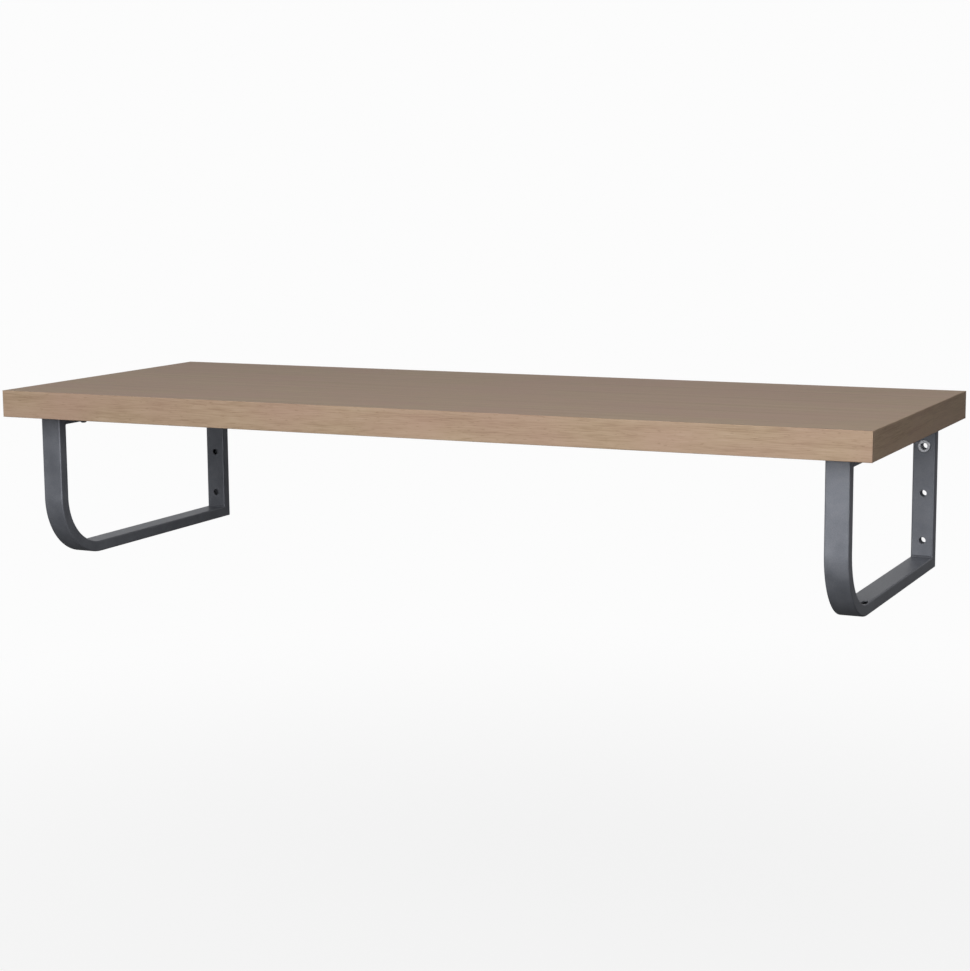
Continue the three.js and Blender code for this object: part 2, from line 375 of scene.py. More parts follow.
def arc(centre, radius, start, end, steps):
    """Points of a round stretch of a profile, with its angles in degrees."""
    points = []
    for step in range(steps + 1):
        angle = math.radians(start + (end - start) * step / steps)
        points.append((centre[0] + radius * math.cos(angle), centre[1] + radius * math.sin(angle)))
    return points


# ----- Objects -----

def to_object(name, bm):
    """A new object at the origin that holds the bmesh."""
    mesh = bpy.data.meshes.new(name)
    bm.to_mesh(mesh)
    bm.free()
    made = bpy.data.objects.new(name, mesh)
    bpy.context.scene.collection.objects.link(made)
    return made


def settle(piece):
    """Turns a piece's modifiers into plain mesh."""
    graph = bpy.context.evaluated_depsgraph_get()
    mesh = bpy.data.meshes.new_from_object(piece.evaluated_get(graph))
    old = piece.data
    piece.modifiers.clear()
    piece.data = mesh
    mesh.name = piece.name
    bpy.data.meshes.remove(old)


def clean(piece):
    """Merges doubled points and removes faces without area."""
    bm = bmesh.new()
    bm.from_mesh(piece.data)
    bmesh.ops.remove_doubles(bm, verts=bm.verts, dist=MERGE_DISTANCE)
    bmesh.ops.dissolve_degenerate(bm, edges=bm.edges, dist=MERGE_DISTANCE)
    bmesh.ops.recalc_face_normals(bm, faces=bm.faces)
    bm.to_mesh(piece.data)
    bm.free()


def carve(piece, cutters):
    """Cuts each cutter's bmesh out of the piece."""
    for cutter in cutters:
        tool = to_object("cutter", cutter)
        cut = piece.modifiers.new("cut", "BOOLEAN")
        cut.operation = "DIFFERENCE"
        cut.solver = "EXACT"
        cut.object = tool
        settle(piece)
        bpy.data.objects.remove(tool)
    clean(piece)


def soften_rims(piece, radius):
    """Rounds the sharp rims of a tube and its holes a little, as paint does."""
    rims = piece.modifiers.new("rims", "BEVEL")
    rims.width = radius
    rims.segments = 2
    rims.limit_method = "ANGLE"
    rims.angle_limit = RIM_ANGLE
    rims.use_clamp_overlap = True
    settle(piece)
    clean(piece)


def finish_piece(piece, material, nodes, x=0.0):
    """Moves a piece along X, shades it, paints it, hangs it under the root body and hides the CAD
    nodes it stands for.
    """
    piece.data.transform(Matrix.Translation((x, 0, 0)))
    piece.data.materials.clear()
    piece.data.materials.append(material)
    piece.data.shade_smooth()
    piece.data.set_sharp_from_angle(angle=SHARP_ANGLE)
    flats = piece.modifiers.new("flats", "WEIGHTED_NORMAL")
    flats.keep_sharp = True
    settle(piece)
    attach(piece, "root")
    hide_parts(*nodes)


# ----- Materials -----

def add(tree, kind, settings=None, inputs=None):
    """Adds a node. Settings are its own values, inputs are socket values or sockets to link."""
    node = tree.nodes.new(kind)
    for name, value in (settings or {}).items():
        setattr(node, name, value)
    for name, value in (inputs or {}).items():
        if isinstance(value, bpy.types.NodeSocket):
            tree.links.new(value, node.inputs[name])
        else:
            node.inputs[name].default_value = value
    return node


def new_material(name):
    """An empty node material with its Principled shader."""
    material = bpy.data.materials.new(name)
    material.use_nodes = True
    tree = material.node_tree
    tree.nodes.clear()
    shader = add(tree, "ShaderNodeBsdfPrincipled")
    add(tree, "ShaderNodeOutputMaterial", inputs={"Surface": shader.outputs["BSDF"]})
    return material, tree, shader


def rgba(colour):
    """An opaque colour with its alpha."""
    return (*colour, 1.0)


def set_ramp(node, stops):
    """Sets a colour ramp's stops from (position, colour) pairs."""
    elements = node.color_ramp.elements
    while len(elements) < len(stops):
        elements.new(0.5)
    for element, (position, colour) in zip(elements, stops):
        element.position = position
        element.color = rgba(colour)


def stretched_noise(tree, spacing, length, along, shift, detail):
    """Noise whose grains are one spacing wide and one length long, along X or Y."""
    lengths = [spacing] * 3
    lengths["XYZ".index(along)] = length
    coordinates = add(tree, "ShaderNodeTexCoord")
    mapping = add(
        tree, "ShaderNodeMapping", {"vector_type": "POINT"},
        {"Vector": coordinates.outputs["Object"], "Location": shift,
         "Scale": [1 / size for size in lengths]})
    return add(
        tree, "ShaderNodeTexNoise", {"noise_dimensions": "3D"},
        {"Vector": mapping.outputs["Vector"], "Scale": 1.0, "Detail": detail, "Roughness": 0.55})


def oak_material(name, settings, along, shift, figure_length):
    """Lacquered oak veneer, sliced and sanded.

    The eye sees straight growth bands, fine fibre streaks along the grain, short dark pores
    and patches that drift from yellowish to reddish, under an even satin lacquer.
    """
    material, tree, shader = new_material(name)
    figure = stretched_noise(tree, settings.figure_spacing, figure_length, along, shift, 2.0)
    fibre = stretched_noise(tree, settings.fibre_spacing, FIBRE_LENGTH, along, shift, 2.0)
    # Real pores are 0.2 mm wide. They are drawn 1 mm wide so that they show.
    pore = stretched_noise(tree, PORE_WIDTH, PORE_LENGTH, along, shift, 1.0)
    drift = stretched_noise(tree, DRIFT_WIDTH, DRIFT_LENGTH, along, shift, 1.0)

    streaks = add(tree, "ShaderNodeMix", {"data_type": "FLOAT"}, {
        0: 0.6, 2: figure.outputs["Fac"], 3: fibre.outputs["Fac"]})
    tones = add(tree, "ShaderNodeValToRGB", inputs={"Fac": streaks.outputs[0]})
    set_ramp(tones, ((0.22, settings.dark), (0.5, settings.middle), (0.78, settings.light)))

    patches = add(tree, "ShaderNodeMapRange", inputs={
        "Value": drift.outputs["Fac"], "From Min": 0.35, "From Max": 0.65,
        "To Min": 0.1, "To Max": 0.5})
    drifted = add(tree, "ShaderNodeMix", {"data_type": "RGBA"}, {
        0: patches.outputs["Result"], 6: tones.outputs["Color"], 7: rgba(settings.blush)})

    pore_mask = add(tree, "ShaderNodeMapRange", inputs={
        "Value": pore.outputs["Fac"], "From Min": 0.66, "From Max": 0.76,
        "To Min": 0.0, "To Max": 0.5})
    coloured = add(tree, "ShaderNodeMix", {"data_type": "RGBA"}, {
        0: pore_mask.outputs["Result"], 6: drifted.outputs[2], 7: rgba(settings.dark)})
    tree.links.new(coloured.outputs[2], shader.inputs["Base Color"])

    gloss = add(tree, "ShaderNodeMapRange", inputs={
        "Value": fibre.outputs["Fac"], "From Min": 0.3, "From Max": 0.7,
        "To Min": 0.44, "To Max": 0.58})
    tree.links.new(gloss.outputs["Result"], shader.inputs["Roughness"])
    relief = add(tree, "ShaderNodeMath", {"operation": "SUBTRACT"}, {
        0: fibre.outputs["Fac"], 1: pore_mask.outputs["Result"]})
    bump = add(tree, "ShaderNodeBump", inputs={
        "Strength": 0.35, "Distance": 0.05 * MM, "Height": relief.outputs["Value"]})
    tree.links.new(bump.outputs["Normal"], shader.inputs["Normal"])
    shader.inputs["IOR"].default_value = 1.48
    shader.inputs["Specular IOR Level"].default_value = 0.14
    return material


def chipboard_material():
    """Raw chipboard, pressed from wood chips and glue: pale flakes of many tones, matt."""
    material, tree, shader = new_material("pressed_chipboard")
    coordinates = add(tree, "ShaderNodeTexCoord")
    chips = add(tree, "ShaderNodeTexVoronoi", {"feature": "F1"}, {
        "Vector": coordinates.outputs["Object"], "Scale": 1 / CHIP_SIZE})
    tones = add(tree, "ShaderNodeValToRGB", inputs={"Fac": chips.outputs["Color"]})
    set_ramp(tones, ((0.2, srgb("#8d6f4a")), (0.5, srgb("#b99c70")), (0.85, srgb("#d3bd94"))))
    tree.links.new(tones.outputs["Color"], shader.inputs["Base Color"])
    bump = add(tree, "ShaderNodeBump", inputs={
        "Strength": 0.6, "Distance": 0.2 * MM, "Height": chips.outputs["Distance"]})
    tree.links.new(bump.outputs["Normal"], shader.inputs["Normal"])
    shader.inputs["Roughness"].default_value = 0.9
    return material


def anthracite_material(name, settings):
    """Anthracite powder coat with metal flake, sprayed on steel and baked.

    The eye sees a satin metallic grey with a slight orange peel and faint cloudy shading.
    """
    material, tree, shader = new_material(name)
    coordinates = add(tree, "ShaderNodeTexCoord")
    # Real flakes are 0.03 mm wide. They are drawn 0.35 mm wide so that they show.
    flakes = add(tree, "ShaderNodeTexVoronoi", {"feature": "F1"}, {
        "Vector": coordinates.outputs["Object"], "Scale": 1 / FLAKE_SIZE})
    clouds = add(tree, "ShaderNodeTexNoise", inputs={
        "Vector": coordinates.outputs["Object"], "Scale": 1 / PAINT_CLOUD_SIZE, "Detail": 2.0})
    speckle = add(tree, "ShaderNodeMix", {"data_type": "FLOAT"}, {
        0: 0.55, 2: flakes.outputs["Color"], 3: clouds.outputs["Fac"]})
    tones = add(tree, "ShaderNodeValToRGB", inputs={"Fac": speckle.outputs[0]})
    set_ramp(tones, ((0.3, settings.paint_shade), (0.7, settings.paint)))
    tree.links.new(tones.outputs["Color"], shader.inputs["Base Color"])

    peel = add(tree, "ShaderNodeTexNoise", inputs={
        "Vector": coordinates.outputs["Object"], "Scale": 1 / PEEL_SIZE, "Detail": 1.0})
    gloss = add(tree, "ShaderNodeMapRange", inputs={
        "Value": clouds.outputs["Fac"], "From Min": 0.3, "From Max": 0.7,
        "To Min": 0.4, "To Max": 0.48})
    tree.links.new(gloss.outputs["Result"], shader.inputs["Roughness"])
    bump = add(tree, "ShaderNodeBump", inputs={
        "Strength": 0.12, "Distance": 0.03 * MM, "Height": peel.outputs["Fac"]})
    tree.links.new(bump.outputs["Normal"], shader.inputs["Normal"])
    shader.inputs["Metallic"].default_value = 0.5
    return material


def zinc_material(name, settings):
    """Bright zinc plating on turned steel: a mirror-like grey, clouded and slightly scratched."""
    material, tree, shader = new_material(name)
    coordinates = add(tree, "ShaderNodeTexCoord")
    clouds = add(tree, "ShaderNodeTexNoise", inputs={
        "Vector": coordinates.outputs["Object"], "Scale": 1 / ZINC_CLOUD_SIZE, "Detail": 3.0})
    tones = add(tree, "ShaderNodeValToRGB", inputs={"Fac": clouds.outputs["Fac"]})
    set_ramp(tones, ((0.3, srgb("#b9bcc2")), (0.65, settings.zinc)))
    tree.links.new(tones.outputs["Color"], shader.inputs["Base Color"])
    gloss = add(tree, "ShaderNodeMapRange", inputs={
        "Value": clouds.outputs["Fac"], "From Min": 0.3, "From Max": 0.7,
        "To Min": 0.26, "To Max": 0.36})
    tree.links.new(gloss.outputs["Result"], shader.inputs["Roughness"])
    shader.inputs["Metallic"].default_value = 1.0
    return material


def painted_steel(scene):
    """The brackets' paint, made once for all their pieces."""
    name = "anthracite_metallic_powder_coat"
    return bpy.data.materials.get(name) or anthracite_material(name, scene.shelf_bracket)


def plated_steel(scene):
    """The fixings' zinc plating, made once for all of them."""
    name = "bright_zinc_plated_steel"
    return bpy.data.materials.get(name) or zinc_material(name, scene.shelf_fixing)


# ----- Board -----

def inside_of_bands(seam):
    """The space between the four edge bands, less a seam: low and high X, low and high Y."""
    return (
        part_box("board_left_edge_band")[1].x + seam,
        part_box("board_right_edge_band")[0].x - seam,
        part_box("board_front_edge_band")[1].y + seam,
        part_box("board_rear_edge_band")[0].y - seam,
    )


def pilot_holes(start, length):
    """Cutters for the four board screws' holes, upwards from a height."""
    cutters = []
    for side in SIDES:
        for place in SCREWS:
            spot = middle_of(f"{side}_{place}_screw")
            cutters.append(rod((spot.x, spot.y, start), (0, 0, 1), SCREW_HOLE, length))
    return cutters


class SHELF_OT_make_veneers(bpy.types.Operator):
    """Build the veneer sheets on the chipboard core, which gets its chipboard finish"""
    bl_idname = "shelf.make_veneers"
    bl_label = "Make veneers"

    def execute(self, context):
        settings = context.scene.shelf_board
        oak = oak_material(
            "lacquered_oak_veneer", settings, "X", (0, 0, 0), settings.sheet_figure_length)
        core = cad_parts["board_core"]
        core.data.materials.clear()
        core.data.materials.append(chipboard_material())
        core_low, core_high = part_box("board_core")
        for face in ("top", "bottom"):
            node = f"board_{face}_veneer"
            low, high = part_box(node)
            low.x, high.x, low.y, high.y = inside_of_bands(settings.seam)
            if face == "top":
                low.z = core_high.z
                outer = high.z
                holes = []
            else:
                high.z = core_low.z
                outer = low.z
                holes = pilot_holes(
                    low.z - SCREW_HOLE_OVERRUN, high.z - low.z + 2 * SCREW_HOLE_OVERRUN)
            bm = block(low, high)
            # Sanding eases the sheet's outer edges by about the width of the glue line.
            round_edges(bm, edges_at(bm, "z", outer), settings.seam, 3)
            sheet = to_object(f"{face}_veneer_sheet", bm)
            carve(sheet, holes)
            finish_piece(sheet, oak, [node])
        return {"FINISHED"}


class SHELF_OT_make_edge_bands(bpy.types.Operator):
    """Build the four edge bands, with their outer edges rounded"""
    bl_idname = "shelf.make_edge_bands"
    bl_label = "Make edge bands"

    def execute(self, context):
        settings = context.scene.shelf_board
        along = oak_material(
            "oak_edge_band_along", settings, "X", (3.1, 7.3, 1.7), settings.band_figure_length)
        across = oak_material(
            "oak_edge_band_across", settings, "Y", (5.9, 2.2, 8.4), settings.band_figure_length)
        front, rear = inside_of_bands(settings.seam)[2:]
        for side, outside in (("front", 0), ("rear", 1)):
            low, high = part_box(f"board_{side}_edge_band")
            self.make_band(side, low, high, "y", outside, along, settings)
        for side, outside in (("left", 0), ("right", 1)):
            low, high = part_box(f"board_{side}_edge_band")
            low.y, high.y = front, rear
            self.make_band(side, low, high, "x", outside, across, settings)
        return {"FINISHED"}

    def make_band(self, side, low, high, axis, outside, material, settings):
        """A strip whose long edges are rounded on its outside, and on the long bands its ends."""
        face = getattr((low, high)[outside], axis)
        bm = block(low, high)
        edges = [
            edge for edge in edges_at(bm, axis, face)
            if axis == "y" or abs(edge.verts[0].co.y - edge.verts[1].co.y) > 1 * MM]
        round_edges(bm, edges, settings.edge_radius, 4)
        strip = to_object(f"{side}_edge_band_strip", bm)
        finish_piece(strip, material, [f"board_{side}_edge_band"])


# ----- Brackets -----

class Bracket:
    """The lines and levels of one bracket, read from its CAD nodes."""

    def __init__(self, side):
        leg_low, leg_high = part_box(f"{side}_bent_tube")
        wall_low, wall_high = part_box(f"{side}_wall_tube")
        top_low, top_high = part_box(f"{side}_top_tube")
        self.x = (leg_low.x + leg_high.x) / 2
        self.width = leg_high.x - leg_low.x
        self.depth = wall_high.y - wall_low.y
        self.front = leg_low.y
        self.back = wall_high.y
        self.top = leg_high.z
        self.bottom = leg_low.z
        self.top_bar_depth = top_high.z - top_low.z
        self.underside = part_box("board_bottom_veneer")[0].z
        self.screws = [middle_of(f"{side}_{place}_screw") for place in SCREWS]

    def hole_levels(self, end_distance):
        """The heights of the top, middle and bottom wall holes."""
        first, last = self.top - end_distance, self.bottom + end_distance
        return first, (first + last) / 2, last


def bent_tube(line, settings):
    """Front leg, bend and bottom rail, with a mitre at the rear end."""
    bm = bmesh.new()
    ring = tube_ring(bm, line.width, line.depth, settings.corner_radius, settings.tube_wall)
    start = Vector((0, line.front + line.depth / 2, line.top))
    bmesh.ops.translate(bm, vec=start, verts=bm.verts)
    bend_top = line.bottom + settings.bend_radius
    ring = grow(bm, ring, (0, 0, bend_top - line.top), keep_start=True)
    bend_centre = (0, line.front + settings.bend_radius, bend_top)
    edges = list({edge for face in ring for edge in face.edges})
    spun = bmesh.ops.spin(
        bm, geom=ring + edges + ring_verts(ring), cent=bend_centre, axis=(1, 0, 0),
        angle=math.pi / 2, steps=BEND_STEPS, use_merge=False, use_duplicate=False)
    ring = grow(bm, faces_of(spun["geom_last"]), (0, line.back - bend_centre[1], 0))
    mitre = Matrix(((1, 0, 0, 0), (0, 1, -1, line.bottom), (0, 0, 1, 0), (0, 0, 0, 1)))
    bmesh.ops.transform(bm, matrix=mitre, verts=ring_verts(ring))
    bmesh.ops.recalc_face_normals(bm, faces=bm.faces)
    return bm


def bend_opening(line, settings):
    """A cutter for the oval opening in the inner wall, where the bend runs out."""
    bm = bmesh.new()
    bmesh.ops.create_uvsphere(bm, u_segments=32, v_segments=16, radius=1)
    width, length = settings.opening_size
    reach = 4 * settings.tube_wall  # enough to pass the inner wall and stay short of the outer
    bmesh.ops.scale(bm, vec=(width / 2, length / 2, reach), verts=bm.verts)
    turn = Matrix.Rotation(-settings.opening_angle, 4, "X")
    arm = turn @ Vector((0, 0, -(settings.bend_radius - line.depth + settings.tube_wall / 2)))
    centre = Vector((0, line.front + settings.bend_radius, line.bottom + settings.bend_radius))
    inset = Vector((line.width / 2 - settings.opening_inset, 0, 0))
    bmesh.ops.transform(bm, matrix=Matrix.Translation(centre + arm + inset) @ turn, verts=bm.verts)
    return bm


def wall_tube(line, settings):
    """The upright that lies on the wall, with a mitre at its foot."""
    bm = bmesh.new()
    ring = tube_ring(bm, line.width, line.depth, settings.corner_radius, settings.tube_wall)
    start = Vector((0, line.back - line.depth / 2, line.top))
    bmesh.ops.translate(bm, vec=start, verts=bm.verts)
    ring = grow(bm, ring, (0, 0, line.bottom - line.top), keep_start=True)
    mitre = Matrix(((1, 0, 0, 0), (0, 1, 0, 0), (0, -1, 1, line.back), (0, 0, 0, 1)))
    bmesh.ops.transform(bm, matrix=mitre, verts=ring_verts(ring))
    bmesh.ops.recalc_face_normals(bm, faces=bm.faces)
    return bm


def top_tube(line, settings):
    """The thinner tube under the board, from the leg to the wall tube."""
    bm = bmesh.new()
    ring = tube_ring(bm, line.width, line.top_bar_depth, settings.corner_radius, settings.tube_wall)
    turn = Matrix.Rotation(math.radians(-90), 4, "X")
    start = Vector((0, line.front + line.depth, line.top - line.top_bar_depth / 2))
    bmesh.ops.transform(bm, matrix=Matrix.Translation(start) @ turn, verts=bm.verts)
    grow(bm, ring, (0, line.back - line.front - 2 * line.depth, 0), keep_start=True)
    bmesh.ops.recalc_face_normals(bm, faces=bm.faces)
    return bm


def weld_bead(line, settings, corner, toward):
    """A rippled fillet of weld metal across the tube in an inside corner.

    The corner is a (y, z) point, and toward holds the signs that point into the open side.
    """
    length = line.width - 2 * settings.corner_radius
    ripples = round(length / settings.ripple)
    bm = bmesh.new()
    origin = bm.verts.new((0, 0, 0))
    foot = bm.verts.new((0, WELD_LEG, 0))
    head = bm.verts.new((0, 0, WELD_LEG))
    bm.faces.new((origin, foot, head))
    slope = bm.edges.get((foot, head))
    bmesh.ops.subdivide_edges(bm, edges=[slope], cuts=WELD_FACE_CUTS)
    for vert in bm.verts:
        bulge = 4 * vert.co.y * vert.co.z / WELD_LEG ** 2
        vert.co.y += WELD_BULGE * WELD_LEG * bulge
        vert.co.z += WELD_BULGE * WELD_LEG * bulge
    ring = bm.faces[:]
    step = length / (ripples * WELD_STEPS_PER_RIPPLE)
    size = 1.0
    for count in range(1, ripples * WELD_STEPS_PER_RIPPLE + 1):
        ring = grow(bm, ring, (step, 0, 0), keep_start=count == 1)
        phase = count % WELD_STEPS_PER_RIPPLE / WELD_STEPS_PER_RIPPLE
        wanted = 1.0 + WELD_RIPPLE_HEIGHT * math.sin(math.pi * phase)
        bmesh.ops.scale(bm, vec=(1, wanted / size, wanted / size), verts=ring_verts(ring))
        size = wanted
    place = Matrix((
        (1, 0, 0, -length / 2), (0, toward[0], 0, corner[0]),
        (0, 0, toward[1], corner[1]), (0, 0, 0, 1)))
    bmesh.ops.transform(bm, matrix=place, verts=bm.verts)
    bmesh.ops.recalc_face_normals(bm, faces=bm.faces)
    return bm


def paint_piece(context, piece, node, line):
    """Finishes a piece of a bracket in the brackets' paint."""
    finish_piece(piece, painted_steel(context.scene), [node], line.x)


class SHELF_OT_make_legs(bpy.types.Operator):
    """Build the bent tubes: front leg, bend and bottom rail in one"""
    bl_idname = "shelf.make_legs"
    bl_label = "Make legs and rails"

    def execute(self, context):
        settings = context.scene.shelf_bracket
        for side in SIDES:
            line = Bracket(side)
            loop = to_object(f"{side}_leg_and_rail", bent_tube(line, settings))
            if side == "right":
                carve(loop, [bend_opening(line, settings)])
            soften_rims(loop, settings.rim_radius)
            paint_piece(context, loop, f"{side}_bent_tube", line)
        return {"FINISHED"}


class SHELF_OT_make_uprights(bpy.types.Operator):
    """Build the wall tubes with their screw holes"""
    bl_idname = "shelf.make_uprights"
    bl_label = "Make wall uprights"

    def execute(self, context):
        settings = context.scene.shelf_bracket
        bush_wall = context.scene.shelf_fixing.bush_wall
        bush_hole = settings.hole_diameter + 2 * bush_wall + BUSH_HOLE_PLAY
        for side in SIDES:
            line = Bracket(side)
            upright = to_object(f"{side}_wall_upright", wall_tube(line, settings))
            levels = line.hole_levels(settings.hole_end)
            start = line.back - line.depth - WALL_HOLE_OVERRUN
            length = line.depth + 2 * WALL_HOLE_OVERRUN
            through = [
                rod((0, start, level), (0, 1, 0), settings.hole_diameter, length)
                for level in levels]
            seat = rod(
                (0, start, levels[0]), (0, 1, 0), bush_hole,
                WALL_HOLE_OVERRUN + 2 * settings.tube_wall)
            carve(upright, [*through, seat])
            soften_rims(upright, settings.rim_radius)
            paint_piece(context, upright, f"{side}_wall_tube", line)
        return {"FINISHED"}


class SHELF_OT_make_board_bars(bpy.types.Operator):
    """Build the thinner tubes under the board with their screw holes"""
    bl_idname = "shelf.make_board_bars"
    bl_label = "Make board bars"

    def execute(self, context):
        settings = context.scene.shelf_bracket
        for side in SIDES:
            line = Bracket(side)
            bar = to_object(f"{side}_board_bar", top_tube(line, settings))
            start = line.top - line.top_bar_depth - SCREW_HOLE_OVERRUN
            length = line.top_bar_depth + 2 * SCREW_HOLE_OVERRUN
            carve(bar, [
                rod((0, spot.y, start), (0, 0, 1), SCREW_HOLE, length) for spot in line.screws])
            soften_rims(bar, settings.rim_radius)
            paint_piece(context, bar, f"{side}_top_tube", line)
        return {"FINISHED"}


class SHELF_OT_make_weld_beads(bpy.types.Operator):
    """Build the weld beads in the inside corners of the brackets"""
    bl_idname = "shelf.make_weld_beads"
    bl_label = "Make weld beads"

    def execute(self, context):
        settings = context.scene.shelf_bracket
        for side in SIDES:
            line = Bracket(side)
            inner_front = line.front + line.depth
            inner_back = line.back - line.depth
            bar_bottom = line.top - line.top_bar_depth
            corners = {
                "front_top_weld": ((inner_front, bar_bottom), (1, -1)),
                "rear_top_weld": ((inner_back, bar_bottom), (-1, -1)),
                "rear_bottom_weld": ((inner_back, line.bottom + line.depth), (-1, 1)),
            }
            for name, (corner, toward) in corners.items():
                bead = to_object(f"{side}_{name}_bead", weld_bead(line, settings, corner, toward))
                paint_piece(context, bead, f"{side}_{name}", line)
        return {"FINISHED"}


# ----- Fixings -----

def wall_bush(line, bracket, fixing, node):
    """A turned bush with a domed flange on the front of the wall tube."""
    low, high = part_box(node)
    centre = Vector((0, line.back - line.depth, line.hole_levels(bracket.hole_end)[0]))
    bore = bracket.hole_diameter / 2
    sleeve = bore + fixing.bush_wall
    flange = (high.x - low.x) / 2
    proud = centre.y - low.y
    reach = high.y - centre.y
    edge = 0.5 * proud
    # The profile's height runs out of the wall tube, towards the room.
    profile = [(bore, -reach)]
    level = -reach + BUSH_THREAD_START
    while level + fixing.bush_pitch < -BUSH_THREAD_STOP:
        profile += [(bore, level + 0.15 * fixing.bush_pitch),
                    (bore - fixing.bush_thread, level + 0.5 * fixing.bush_pitch),
                    (bore, level + 0.85 * fixing.bush_pitch)]
        level += fixing.bush_pitch
    lip = BUSH_LIP_RADIUS
    profile.append((bore, proud - lip))
    profile += arc((bore + lip, proud - lip), lip, 180, 90, 4)[1:]
    profile += arc((flange - edge, proud - edge), edge, 90, 0, 8)
    profile += [(flange, 0), (sleeve, 0), (sleeve, -reach)]
    return lathe(profile, centre, (0, -1, 0))


def board_screw(line, fixing, node):
    """A pan-head screw with a cross recess. Its thread is drawn as rings, not as a helix."""
    low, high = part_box(node)
    y = (low.y + high.y) / 2
    seat = line.top - line.top_bar_depth
    head = (high.x - low.x) / 2
    rise = seat - low.z
    core = SCREW_CORE_RADIUS
    shank_end = line.underside - SCREW_SHANK_END
    level = shank_end + SCREW_THREAD_RUNOUT
    tip = high.z
    point_start = tip - SCREW_POINT_LENGTH
    profile = [(0.0, low.z)]
    profile += [(head * out, low.z + rise * up) for out, up in SCREW_HEAD_OUTLINE]
    profile += [(head, seat), (SCREW_SHANK_RADIUS, seat), (SCREW_SHANK_RADIUS, shank_end)]
    profile.append((core, level))
    while level + fixing.thread_pitch < point_start:
        profile += [(core, level + 0.55 * fixing.thread_pitch),
                    (core + fixing.thread_depth, level + 0.8 * fixing.thread_pitch),
                    (core, level + fixing.thread_pitch)]
        level += fixing.thread_pitch
    profile += [(core, point_start), (0.0, tip)]
    return lathe(profile, (0, y, 0), (0, 0, 1))


def cross_recess(fixing, node):
    """The two crossed tapered slots that make a cross recess."""
    low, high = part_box(node)
    cutters = []
    for turn in (0, math.pi / 2):
        bm = bmesh.new()
        bmesh.ops.create_cone(
            bm, cap_ends=True, segments=4, radius1=0.5 * math.sqrt(2),
            radius2=RECESS_TAPER * math.sqrt(2), depth=1)
        bmesh.ops.rotate(bm, matrix=Matrix.Rotation(math.pi / 4, 3, "Z"), verts=bm.verts)
        bmesh.ops.scale(bm, vec=(fixing.recess_span, RECESS_WIDTH, RECESS_HEIGHT), verts=bm.verts)
        bmesh.ops.rotate(bm, matrix=Matrix.Rotation(turn, 3, "Z"), verts=bm.verts)
        place = (0, (low.y + high.y) / 2, low.z + RECESS_MIDDLE)
        bmesh.ops.translate(bm, vec=place, verts=bm.verts)
        cutters.append(bm)
    return cutters


class SHELF_OT_make_bushes(bpy.types.Operator):
    """Build the bushes in the top wall holes"""
    bl_idname = "shelf.make_bushes"
    bl_label = "Make bushes"

    def execute(self, context):
        bracket = context.scene.shelf_bracket
        fixing = context.scene.shelf_fixing
        for side in SIDES:
            line = Bracket(side)
            node = f"{side}_wall_bush"
            bush = to_object(f"{side}_flanged_bush", wall_bush(line, bracket, fixing, node))
            finish_piece(bush, plated_steel(context.scene), [node], line.x)
        return {"FINISHED"}


class SHELF_OT_make_board_screws(bpy.types.Operator):
    """Build the screws that hold the board on the brackets"""
    bl_idname = "shelf.make_board_screws"
    bl_label = "Make board screws"

    def execute(self, context):
        fixing = context.scene.shelf_fixing
        for side in SIDES:
            line = Bracket(side)
            for place in SCREWS:
                node = f"{side}_{place}_screw"
                screw = to_object(f"{side}_{place}_board_screw", board_screw(line, fixing, node))
                carve(screw, cross_recess(fixing, node))
                finish_piece(
                    screw, plated_steel(context.scene), [node], line.x)
        return {"FINISHED"}


# ----- Stage -----

def soft_light(name, size, power, place, aim):
    """A rectangular area light that faces a point and that the camera doesn't see."""
    data = bpy.data.lights.new(name, "AREA")
    data.shape = "RECTANGLE"
    data.size, data.size_y = size
    data.energy = power
    lamp = bpy.data.objects.new(name, data)
    lamp.location = place
    lamp.visible_camera = False
    lamp.rotation_euler = (Vector(aim) - Vector(place)).to_track_quat("-Z", "Y").to_euler()
    bpy.context.scene.collection.objects.link(lamp)


def studio_world(floor):
    """A pale room. The camera sees the floor's colour.

    What lights the shelf is darker below, and brighter behind it and on its left.
    """
    world = bpy.data.worlds.new("studio")
    bpy.context.scene.world = world
    world.use_nodes = True
    tree = world.node_tree
    tree.nodes.clear()
    direction = add(tree, "ShaderNodeTexCoord")
    parts = add(tree, "ShaderNodeSeparateXYZ", inputs={0: direction.outputs["Generated"]})
    height = add(tree, "ShaderNodeMapRange", inputs={
        "Value": parts.outputs["Z"], "From Min": -1.0, "From Max": 1.0})
    room = add(tree, "ShaderNodeValToRGB", inputs={"Fac": height.outputs["Result"]})
    set_ramp(room, [(position, (tone, tone, tone)) for position, tone in ROOM_TONES])
    backdrop = add(tree, "ShaderNodeMapRange", inputs={
        "Value": parts.outputs["Y"], "From Min": -0.3, "From Max": 0.7,
        "To Min": 0.75, "To Max": 2.0})
    sideways = add(tree, "ShaderNodeMapRange", inputs={
        "Value": parts.outputs["X"], "From Min": -0.2, "From Max": 0.6,
        "To Min": 1.0, "To Max": 0.25})
    strength = add(tree, "ShaderNodeMath", {"operation": "MULTIPLY"}, {
        0: backdrop.outputs["Result"], 1: sideways.outputs["Result"]})
    lit = add(tree, "ShaderNodeBackground", inputs={
        "Color": room.outputs["Color"], "Strength": strength.outputs["Value"]})
    seen = add(tree, "ShaderNodeBackground", inputs={"Color": rgba(floor), "Strength": 1.0})
    path = add(tree, "ShaderNodeLightPath")
    mix = add(tree, "ShaderNodeMixShader", inputs={
        0: path.outputs["Is Camera Ray"], 1: lit.outputs[0], 2: seen.outputs[0]})
    add(tree, "ShaderNodeOutputWorld", inputs={"Surface": mix.outputs[0]})


